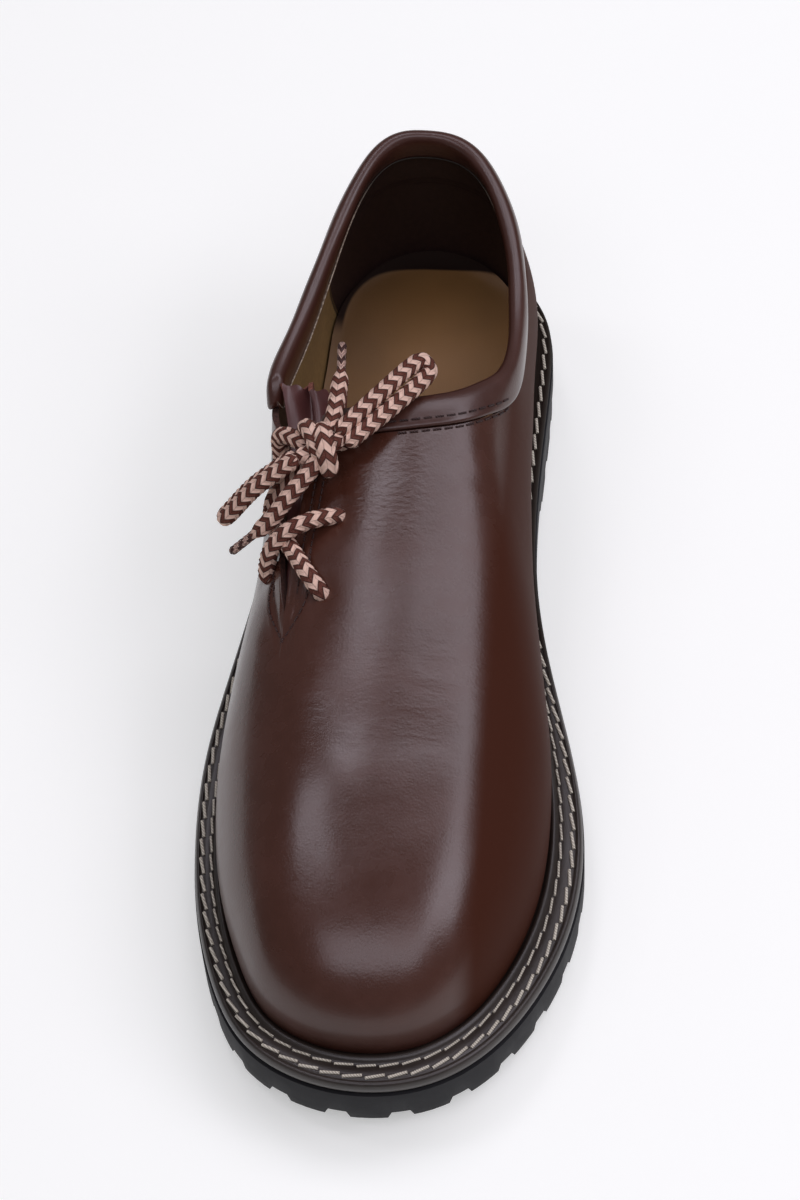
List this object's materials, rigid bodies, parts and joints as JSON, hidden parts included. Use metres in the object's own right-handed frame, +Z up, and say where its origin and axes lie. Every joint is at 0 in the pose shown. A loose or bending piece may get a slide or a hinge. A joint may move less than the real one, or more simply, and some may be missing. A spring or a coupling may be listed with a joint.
{
  "type": "haferl shoe",
  "caption": "Low side-laced leather shoe for the right foot, with a welt, padded collar, bellows tongue and lugged rubber sole",
  "frame": {"origin": "on the floor, under the middle of the shoe's outline", "axes": "+Y runs from toe to heel, +X to the inner side of the foot, +Z up from the floor"},
  "size_m": [0.1134, 0.2979, 0.0947],
  "materials": {
    "rubber_sole": "matt black moulded rubber",
    "rubber_heel": "matt black moulded rubber",
    "welt_leather": "dark brown edge leather, satin",
    "upper_leather": "chocolate brown grained leather, polished",
    "collar_leather": "chocolate brown padded leather, polished",
    "tongue_leather": "soft red-brown leather with a raw edge",
    "insole_leather": "olive-tan smooth lining leather",
    "lace": "round braid in brown and beige chevrons",
    "lace_tip": "dark brown film over the cord"
  },
  "bodies": {
    "root": {"outsole": "rubber_sole", "heel": "rubber_heel", "welt": "welt_leather", "insole": "insole_leather", "upper": "upper_leather", "collar_band": "collar_leather", "tongue": "tongue_leather", "lace_crossings": "lace", "lace_knot": "lace", "lace_loop_front": "lace", "lace_loop_side": "lace", "lace_end_back": "lace", "lace_end_side": "lace", "aglet_back": "lace_tip", "aglet_side": "lace_tip"}
  },
  "joints": []
}
